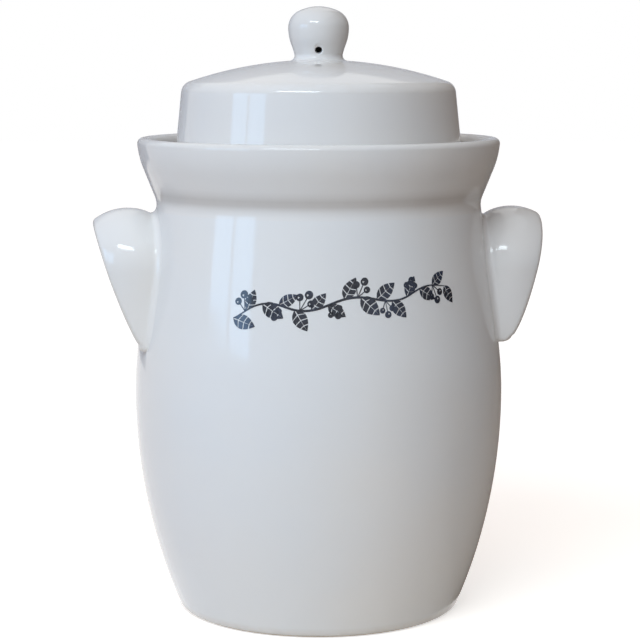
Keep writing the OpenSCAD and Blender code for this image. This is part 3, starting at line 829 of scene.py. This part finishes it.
def makeStone(name, node, side):
    look = stoneLook
    low, high = stoneBox[0].z, stoneBox[1].z
    stoneR = stoneBox[1].x - look["gap"] / 2

    def rounding(depth, radius):
        return radius - math.sqrt(radius ** 2 - (radius - min(depth, radius)) ** 2)

    def outline(depth):
        outer = stoneR - rounding(depth, look["rim"])
        soft = rounding(depth, look["soft"])
        flatX = soft
        finger = look["finger"] + soft
        edgeA = math.acos(flatX / outer)
        holeA = math.acos(flatX / finger)
        ring = [(outer * math.cos(a), outer * math.sin(a)) for a in
                (-edgeA + 2 * edgeA * i / look["arcSteps"] for i in range(look["arcSteps"] + 1))]
        top, hole = ring[-1][1], finger * math.sin(holeA)
        ring += [(flatX, top + (hole - top) * i / look["flatSteps"]) for i in range(1, look["flatSteps"])]
        ring += [(finger * math.cos(a), finger * math.sin(a)) for a in
                 (holeA - 2 * holeA * i / look["holeSteps"] for i in range(look["holeSteps"] + 1))]
        ring += [(flatX, -hole + (hole - top) * i / look["flatSteps"]) for i in range(1, look["flatSteps"])]
        return ring

    depths = [look["rim"] * (1 - math.cos(math.radians(90 * i / look["levels"]))) for i in range(look["levels"] + 1)]
    depths[0] = 0.0
    heights = [(low + d, d) for d in depths] + [(high - d, d) for d in depths[::-1]]
    rings = [[((x + look["gap"] / 2) * side, y, z) for x, y in outline(d)] for z, d in heights]
    count = len(rings[0])
    mesh = bpy.data.meshes.new(name)
    faces = [(j * count + i, j * count + (i + 1) % count, (j + 1) * count + (i + 1) % count, (j + 1) * count + i)
             for j in range(len(rings) - 1) for i in range(count)]
    faces += [tuple(range(count - 1, -1, -1)), tuple((len(rings) - 1) * count + i for i in range(count))]
    mesh.from_pydata([p for ring in rings for p in ring], [], faces)
    mesh.materials.append(stoneClay)
    piece = linkPiece(name, mesh)
    settle(piece, 35)
    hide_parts(node)
    return piece


stoneLeft = makeStone("stoneLeft", "weight_stone_left", -1)
stoneRight = makeStone("stoneRight", "weight_stone_right", 1)
print("stones shaped")


# Printed sprig on the front of the belly, drawn flat and then laid round the glaze

sprigLook = {
    "turn": 1.0,            # degrees round the pot from straight in front, to the right
    "height": 0.1815, "rise": 0.062, "lift": 0.00004, "thickness": 0.00012,
    "stemWidth": 0.0011, "leaves": 15, "leafSize": 0.0125, "leafAngle": 48.0,
    "berries": 8, "berrySize": 0.0088, "seed": 4,
}


def leafMesh():
    # A pointed leaf in two halves, each cut by fine side veins, lying along X with its base at the origin
    work = bmesh.new()
    gap, steps, parts = 0.022, 4, 4

    def half(t):
        return 0.27 * math.sin(math.pi * t ** 0.85) ** 0.9 + gap

    for side in (-1, 1):
        for part in range(parts):
            from_, to = part / parts + 0.012, (part + 1) / parts - (0.028 if part < parts - 1 else 0.0)
            slant = 0.14
            rows = []
            for i in range(steps + 1):
                t = from_ + (to - from_) * i / steps
                outer = min(1.0, t + slant * (1 - t))
                inner = work.verts.new((t, side * gap * (1 - t), 0))
                middle = work.verts.new(((t + outer) / 2, side * (gap * (1 - t) + (half(outer) - gap * outer) * 0.5), 0))
                rim = work.verts.new((outer, side * max(gap * (1 - outer), half(outer) - gap * outer), 0))
                rows.append((inner, middle, rim))
            for a, b in zip(rows, rows[1:]):
                for k in (0, 1):
                    quad = (a[k], b[k], b[k + 1], a[k + 1])
                    work.faces.new(quad if side < 0 else quad[::-1])
    bmesh.ops.remove_doubles(work, verts=work.verts, dist=1e-5)
    mesh = bpy.data.meshes.new("leaf")
    work.to_mesh(mesh)
    work.free()
    return mesh


def berryMesh():
    # Three round berries, each with a bare glint, on short stalks that meet at the origin
    work = bmesh.new()
    for cx, cy, radius in ((0.62, 0.36, 0.205), (0.95, -0.02, 0.23), (0.58, -0.34, 0.19)):
        inner = [work.verts.new((cx + 0.52 * radius * math.cos(a), cy + 0.52 * radius * math.sin(a), 0))
                 for a in (math.tau * i / 20 for i in range(20))]
        outer = [work.verts.new((cx + radius * math.cos(a), cy + radius * math.sin(a), 0))
                 for a in (math.tau * i / 20 for i in range(20))]
        middle = work.verts.new((cx, cy, 0))
        for i in range(20):
            j = (i + 1) % 20
            work.faces.new((inner[i], outer[i], outer[j], inner[j]))
            if not 5 <= i <= 8:
                work.faces.new((middle, inner[i], inner[j]))
        reach = math.hypot(cx, cy)
        start, stop = Vector((0, 0, 0)), Vector((cx, cy, 0)) * ((reach - radius) / reach)
        across = Vector((-cy, cx, 0)) / reach * 0.026
        for i in range(3):
            a, b = start.lerp(stop, i / 3), start.lerp(stop, (i + 1) / 3)
            work.faces.new([work.verts.new(p) for p in (a - across, b - across, b + across, a + across)])
    bmesh.ops.remove_doubles(work, verts=work.verts, dist=1e-5)
    mesh = bpy.data.meshes.new("berries")
    work.to_mesh(mesh)
    work.free()
    return mesh


def stemCurve():
    # The stem waves upwards to the right
    curve = bpy.data.curves.new("sprigStem", "CURVE")
    curve.dimensions = "3D"
    curve.resolution_u = 16
    lines = (
        [(-0.056, -0.006, 0.5), (-0.040, 0.001, 0.9), (-0.018, -0.0035, 1.1), (0.006, 0.0015, 1.1),
         (0.030, -0.002, 0.9), (0.048, 0.003, 0.7), (0.0605, 0.0015, 0.35)],
    )
    for line in lines:
        spline = curve.splines.new("BEZIER")
        spline.bezier_points.add(len(line) - 1)
        for point, (u, v, width) in zip(spline.bezier_points, line):
            point.co = (u, v, 0)
            point.radius = width
            point.handle_left_type = point.handle_right_type = "AUTO"
    return curve


def sprigTree():
    # Sets leaves and berries along a flat stem, and lays the whole round the belly
    tree = bpy.data.node_groups.new("sprigRoundTheBelly", "GeometryNodeTree")
    face = tree.interface
    face.new_socket("Stem", in_out="INPUT", socket_type="NodeSocketGeometry")
    for name in ("Leaf", "Berries", "Belly"):
        face.new_socket(name, in_out="INPUT", socket_type="NodeSocketObject")
    for name in ("Leaf Count", "Berry Count", "Seed"):
        face.new_socket(name, in_out="INPUT", socket_type="NodeSocketInt")
    for name in ("Leaf Size", "Berry Size", "Leaf Angle", "Stem Width", "Turn", "Height", "Rise", "Lift"):
        face.new_socket(name, in_out="INPUT", socket_type="NodeSocketFloat")
    face.new_socket("Ink", in_out="INPUT", socket_type="NodeSocketMaterial")
    face.new_socket("Sprig", in_out="OUTPUT", socket_type="NodeSocketGeometry")
    given = addNode(tree, "NodeGroupInput").outputs

    def along(piece, count, size, angle, spread, shift, offset):
        # Pieces on alternate sides of the stem, leaning forwards
        line = addNode(tree, "GeometryNodeTrimCurve", {"Curve": given["Stem"]}, mode="FACTOR")
        line.inputs[2].default_value = shift[0]
        line.inputs[3].default_value = shift[1]
        points = addNode(tree, "GeometryNodeCurveToPoints", {"Curve": line.outputs[0], "Count": count}, mode="COUNT")
        index = addNode(tree, "GeometryNodeInputIndex").outputs[0]
        side = mathNode(tree, "SUBTRACT", mathNode(tree, "MULTIPLY", mathNode(
            tree, "MODULO", mathNode(tree, "ADD", index, offset), 2.0), 2.0), 1.0)
        sway = addNode(tree, "FunctionNodeRandomValue", {"Seed": given["Seed"]}, data_type="FLOAT")
        sway.inputs[2].default_value, sway.inputs[3].default_value = -spread, spread
        tangent = addNode(tree, "ShaderNodeSeparateXYZ", {0: points.outputs["Tangent"]}).outputs
        heading = mathNode(tree, "ARCTAN2", tangent["Y"], tangent["X"])
        heading = mathNode(tree, "ADD", heading, mathNode(tree, "MULTIPLY", side, angle))
        heading = mathNode(tree, "ADD", heading, sway.outputs[1])
        turn = addNode(tree, "ShaderNodeCombineXYZ", {2: heading}).outputs[0]
        grow = addNode(tree, "FunctionNodeRandomValue", {"Seed": given["Seed"]}, data_type="FLOAT")
        grow.inputs[2].default_value, grow.inputs[3].default_value = 0.82, 1.12
        scale = mathNode(tree, "MULTIPLY", grow.outputs[1], size)
        source = addNode(tree, "GeometryNodeObjectInfo", {"Object": piece}).outputs["Geometry"]
        return addNode(tree, "GeometryNodeInstanceOnPoints", {
            "Points": points.outputs["Points"], "Instance": source, "Rotation": turn, "Scale": scale}).outputs[0]

    leaves = along(given["Leaf"], given["Leaf Count"], given["Leaf Size"], given["Leaf Angle"], 0.16, (0.0, 1.0), 0.0)
    berries = along(given["Berries"], given["Berry Count"], given["Berry Size"],
                    mathNode(tree, "MULTIPLY", given["Leaf Angle"], 1.35), 0.1, (0.06, 0.93), 1.0)

    # The stem is a flat ribbon
    ribbon = addNode(tree, "GeometryNodeCurvePrimitiveLine").outputs[0]
    halfWidth = mathNode(tree, "MULTIPLY", given["Stem Width"], 0.5)
    ribbon = addNode(tree, "GeometryNodeSetPosition", {
        "Geometry": ribbon,
        "Position": addNode(tree, "ShaderNodeCombineXYZ", {0: mathNode(tree, "MULTIPLY", mathNode(
            tree, "SUBTRACT", mathNode(tree, "MULTIPLY", addNode(tree, "GeometryNodeInputIndex").outputs[0], 2.0), 1.0),
            halfWidth)}).outputs[0]}).outputs[0]
    flat = addNode(tree, "GeometryNodeSetCurveNormal", {"Curve": given["Stem"]}, mode="Z_UP").outputs[0]
    radius = addNode(tree, "GeometryNodeInputRadius").outputs[0]
    stem = addNode(tree, "GeometryNodeCurveToMesh", {"Curve": flat, "Profile Curve": ribbon})
    if "Scale" in stem.inputs:
        tree.links.new(radius, stem.inputs["Scale"])
    stem = stem.outputs[0]

    both = addNode(tree, "GeometryNodeJoinGeometry")
    for part in (stem, berries, leaves):
        tree.links.new(part, both.inputs[0])
    sheet = addNode(tree, "GeometryNodeRealizeInstances", {"Geometry": both.outputs[0]}).outputs[0]

    # Across the sheet is the way round the belly, up the sheet is up
    spot = addNode(tree, "ShaderNodeSeparateXYZ", {0: addNode(tree, "GeometryNodeInputPosition").outputs[0]}).outputs
    bearing = mathNode(tree, "ADD", mathNode(tree, "DIVIDE", spot["X"], bellyR * 0.93),
                       mathNode(tree, "SUBTRACT", given["Turn"], math.pi / 2))
    height = mathNode(tree, "ADD", mathNode(tree, "ADD", spot["Y"], given["Height"]),
                      mathNode(tree, "MULTIPLY", spot["X"], given["Rise"]))
    outwards = addNode(tree, "ShaderNodeCombineXYZ", {0: mathNode(tree, "COSINE", bearing),
                                                      1: mathNode(tree, "SINE", bearing)}).outputs[0]
    start = addNode(tree, "ShaderNodeVectorMath", {0: outwards, 1: (0.2, 0.2, 0.2)}, operation="MULTIPLY").outputs[0]
    start = addNode(tree, "ShaderNodeVectorMath", {
        0: start, 1: addNode(tree, "ShaderNodeCombineXYZ", {2: height}).outputs[0]}, operation="ADD").outputs[0]
    inwards = addNode(tree, "ShaderNodeVectorMath", {0: outwards, 1: (-1, -1, -1)}, operation="MULTIPLY").outputs[0]
    target = addNode(tree, "GeometryNodeObjectInfo", {"Object": given["Belly"]}).outputs["Geometry"]
    ray = addNode(tree, "GeometryNodeRaycast", {"Target Geometry": target, "Source Position": start,
                                                "Ray Direction": inwards, "Ray Length": 0.3})
    lifted = addNode(tree, "ShaderNodeVectorMath", {0: outwards, "Scale": given["Lift"]}, operation="SCALE").outputs[0]
    landed = addNode(tree, "ShaderNodeVectorMath", {0: ray.outputs["Hit Position"], 1: lifted}, operation="ADD").outputs[0]
    sheet = addNode(tree, "GeometryNodeSetPosition", {"Geometry": sheet, "Position": landed}).outputs[0]
    sheet = addNode(tree, "GeometryNodeSetMaterial", {"Geometry": sheet, "Material": given["Ink"]}).outputs[0]
    out = addNode(tree, "NodeGroupOutput")
    tree.links.new(sheet, out.inputs[0])
    return tree


def makeSprig(look):
    piece = linkPiece("berrySprig", stemCurve())
    leaf = linkPiece("sprigLeaf", leafMesh())
    berries = linkPiece("sprigBerries", berryMesh())
    modifier = piece.modifiers.new("shape", "NODES")
    modifier.node_group = tree = sprigTree()
    values = {
        "Leaf": leaf, "Berries": berries, "Belly": belly,
        "Leaf Count": look["leaves"], "Berry Count": look["berries"], "Seed": look["seed"],
        "Leaf Size": look["leafSize"], "Berry Size": look["berrySize"],
        "Leaf Angle": math.radians(look["leafAngle"]), "Stem Width": look["stemWidth"],
        "Turn": math.radians(look["turn"]), "Height": look["height"], "Rise": look["rise"], "Lift": look["lift"],
        "Ink": sprigInk,
    }
    for item in tree.interface.items_tree:
        if item.item_type == "SOCKET" and item.in_out == "INPUT" and item.name in values:
            modifier[item.identifier] = values[item.name]
    graph = bpy.context.evaluated_depsgraph_get()
    mesh = bpy.data.meshes.new_from_object(piece.evaluated_get(graph), depsgraph=graph)
    for spare in (piece, leaf, berries):
        bpy.data.objects.remove(spare)
    sprig = linkPiece("berrySprig", mesh)
    # The print has a hair of thickness, grown outwards from the glaze
    work = bmesh.new()
    work.from_mesh(mesh)
    for f in work.faces:
        f.normal_update()
        if f.normal.dot(Vector((f.calc_center_median().x, f.calc_center_median().y, 0))) < 0:
            f.normal_flip()
    work.to_mesh(mesh)
    work.free()
    thick = sprig.modifiers.new("thickness", "SOLIDIFY")
    thick.thickness = look["thickness"]
    thick.offset = 1
    thick.use_even_offset = False
    graph = bpy.context.evaluated_depsgraph_get()
    mesh = bpy.data.meshes.new_from_object(sprig.evaluated_get(graph), depsgraph=graph)
    sprig.modifiers.remove(thick)
    sprig.data = mesh
    mesh.shade_smooth()
    mesh.set_sharp_from_angle(angle=math.radians(40))
    return sprig


sprig = makeSprig(sprigLook)
print("sprig printed")

for piece in (belly, collar, gripLeft, gripRight, sprig):
    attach(piece, "crock")
for piece in (lid, knob):
    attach(piece, "lid")
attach(stoneLeft, "stone_left")
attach(stoneRight, "stone_right")


# Stage: a white floor and a white surround for the camera, a plain room for the light

stageLook = {
    "floorRadius": 6.0, "nearTone": (0.76, 0.71, 0.64), "farTone": (0.22, 0.20, 0.18), "nearReach": (0.30, 0.60),
    "nearGlow": 0.62, "farGlow": 0.985,
    "roomTone": (1.0, 0.64, 0.52), "roomLevel": 0.20,
}

flagLook = {"bearings": (25, 163), "softEdge": 0.42, "distance": 1.1, "height": 1.9, "clothFrom": 0.082,
            "tone": (0.38, 0.33, 0.285)}

backLook = {"bearings": (150, 225), "softEdge": 0.2, "distance": 1.3, "height": 1.0, "tone": (0.80, 0.81, 0.83)}


def whiteForCamera(tree):
    path = addNode(tree, "ShaderNodeLightPath").outputs
    seen = mathNode(tree, "MAXIMUM", path["Is Camera Ray"], path["Is Glossy Ray"])
    return mathNode(tree, "MAXIMUM", seen, path["Is Transmission Ray"])


def makeFloor(look):
    work = bmesh.new()
    bmesh.ops.create_circle(work, cap_ends=True, radius=look["floorRadius"], segments=64)
    mesh = bpy.data.meshes.new("floor")
    work.to_mesh(mesh)
    work.free()
    floor = linkPiece("floor", mesh)
    floor.location.z = -0.0002
    material = bpy.data.materials.new("floorWhite")
    material.use_nodes = True
    tree = material.node_tree
    tree.nodes.remove(tree.nodes["Principled BSDF"])
    place = addNode(tree, "ShaderNodeTexCoord").outputs["Object"]
    reach = addNode(tree, "ShaderNodeVectorMath", {0: place}, operation="LENGTH").outputs["Value"]
    far = rampNode(tree, reach, *look["nearReach"])
    tone = mixColor(tree, far, look["nearTone"], look["farTone"])
    matte = addNode(tree, "ShaderNodeBsdfDiffuse", {"Color": tone}).outputs[0]
    level = mathNode(tree, "MULTIPLY", whiteForCamera(tree), rampNode(tree, far, 0, 1, look["nearGlow"], look["farGlow"]))
    glow = addNode(tree, "ShaderNodeEmission", {"Strength": level}).outputs[0]
    both = addNode(tree, "ShaderNodeAddShader", {0: matte, 1: glow}).outputs[0]
    tree.links.new(both, tree.nodes["Material Output"].inputs["Surface"])
    mesh.materials.append(material)


def makeScreen(name, look, rings):
    # A matte curved gauze on the right, between rings of (distance, height) round the pot, thin at its front edge
    start, stop = (math.radians(cameraView["azimuth"] + b - 90) for b in look["bearings"])
    steps = 24
    points = [(r * math.cos(a), r * math.sin(a), z) for r, z in rings
              for a in (start + (stop - start) * i / steps for i in range(steps + 1))]
    mesh = bpy.data.meshes.new(name)
    mesh.from_pydata(points, [], [(i, i + 1, i + steps + 2, i + steps + 1) for i in range(steps)])
    weave = mesh.attributes.new("weave", "FLOAT", "POINT")
    weave.data.foreach_set("value", [min(1.0, i / steps / look["softEdge"]) for r in rings for i in range(steps + 1)])
    screen = linkPiece(name, mesh)
    material = bpy.data.materials.new(name)
    material.use_nodes = True
    tree = material.node_tree
    shader = tree.nodes["Principled BSDF"]
    shader.inputs["Base Color"].default_value = (*look["tone"], 1)
    shader.inputs["Roughness"].default_value = 1.0
    density = addNode(tree, "ShaderNodeAttribute", attribute_name="weave").outputs["Fac"]
    clear = addNode(tree, "ShaderNodeBsdfTransparent").outputs[0]
    mixed = addNode(tree, "ShaderNodeMixShader", {0: density, 1: clear, 2: shader.outputs[0]}).outputs[0]
    tree.links.new(mixed, tree.nodes["Material Output"].inputs["Surface"])
    mesh.materials.append(material)
    screen.visible_camera = False
    return screen


def makeFlag(look):
    makeScreen("flagRight", look, [(look["distance"], 0.001), (look["distance"], look["height"])])
    # The cloth at its foot is seen in the glaze alone
    cloth = makeScreen("clothRight", look, [(look["clothFrom"], 0.001), (look["distance"], 0.001)])
    card = makeScreen("cardBack", backLook, [(backLook["distance"], 0.0), (backLook["distance"], backLook["height"])])
    for screen in (cloth, card):
        screen.visible_diffuse = False
        screen.visible_shadow = False


def makeRoom(look):
    world = bpy.data.worlds.new("whiteRoom")
    world.use_nodes = True
    bpy.context.scene.world = world
    tree = world.node_tree
    backdrop = tree.nodes["Background"]
    white = whiteForCamera(tree)
    tree.links.new(mixColor(tree, white, look["roomTone"], (1, 1, 1)), backdrop.inputs["Color"])
    level = mathNode(tree, "ADD", mathNode(tree, "MULTIPLY", white, 1 - look["roomLevel"]), look["roomLevel"])
    tree.links.new(level, backdrop.inputs["Strength"])


makeFloor(stageLook)
makeFlag(flagLook)
makeRoom(stageLook)


# Lamps: bearing in degrees from the camera's line, left is negative; radiance is that of the lamp's face

lampAim = Vector((0, 0, 0.18))
lamps = {
    "windowPaneLeft": {"bearing": -66, "elevation": 13, "distance": 1.6, "size": (0.39, 0.46),
                       "radiance": (1.1, 2.1, 3.3), "mirrored": True},
    "windowPaneRight": {"bearing": -50, "elevation": 13, "distance": 1.6, "size": (0.39, 0.46),
                        "radiance": (1.1, 2.1, 3.3), "mirrored": True},
    "stripFront": {"bearing": -18, "elevation": 39, "distance": 1.7, "size": (0.95, 0.24),
                   "radiance": (9.0, 10.2, 11.0), "mirrored": True},
    "softHigh": {"bearing": -14, "elevation": 45, "distance": 2.2, "size": (2.0, 1.3),
                 "radiance": (1.90, 2.46, 3.05), "mirrored": False},
    "softFront": {"bearing": -14, "elevation": 14, "distance": 2.2, "size": (2.4, 1.3),
                  "radiance": (0.47, 0.40, 0.36), "mirrored": False},
    "softTop": {"bearing": -20, "elevation": 75, "distance": 2.0, "size": (1.6, 1.6),
                "radiance": (0.74, 0.66, 0.50), "mirrored": False},
    "softLeft": {"bearing": -85, "elevation": 20, "distance": 2.2, "size": (1.6, 1.6),
                 "radiance": (0.66, 0.66, 0.78), "mirrored": False},
    # Behind the pot, for the views from the back
    "softBack": {"bearing": 185, "elevation": 35, "distance": 2.2, "size": (1.8, 1.4),
                 "radiance": (0.80, 0.88, 1.00), "mirrored": False},
}


def hangLamp(name, look):
    turn = math.radians(cameraView["azimuth"] + look["bearing"])
    rise = math.radians(look["elevation"])
    away = Vector((math.sin(turn) * math.cos(rise), -math.cos(turn) * math.cos(rise), math.sin(rise)))
    data = bpy.data.lights.new(name, "AREA")
    data.shape = "RECTANGLE"
    data.size, data.size_y = look["size"]
    brightest = max(look["radiance"])
    data.energy = brightest * data.size * data.size_y * math.pi
    data.color = [c / brightest for c in look["radiance"]]
    lamp = bpy.data.objects.new(name, data)
    lamp.location = lampAim + away * look["distance"]
    lamp.rotation_euler = away.to_track_quat("Z", "Y").to_euler()
    lamp.visible_camera = False
    lamp.visible_glossy = look["mirrored"]
    bpy.context.scene.collection.objects.link(lamp)


for lampName, lampLook in lamps.items():
    hangLamp(lampName, lampLook)
print("stage lit")
